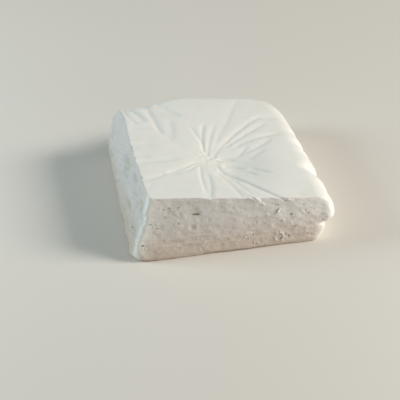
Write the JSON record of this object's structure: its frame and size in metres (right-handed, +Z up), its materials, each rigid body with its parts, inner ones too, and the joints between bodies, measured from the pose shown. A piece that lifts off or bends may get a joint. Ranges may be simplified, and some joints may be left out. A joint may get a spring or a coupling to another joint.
{
  "type": "feta block",
  "caption": "Block of white brined cheese with two knife-cut sides, two rounded natural sides and a folded, sloping top that gathers in a knot.",
  "frame": {"origin": "middle of the block's outline, on the flat foot that it rests on", "axes": "+Z up, -Y towards the front knife cut, -X towards the left knife cut, +X towards the low natural side"},
  "size_m": [0.1698, 0.17, 0.0527],
  "materials": {
    "cheese": "stands for white feta: matt, moist, slightly translucent"
  },
  "bodies": {
    "root": {"feta_block": "cheese"}
  },
  "joints": []
}
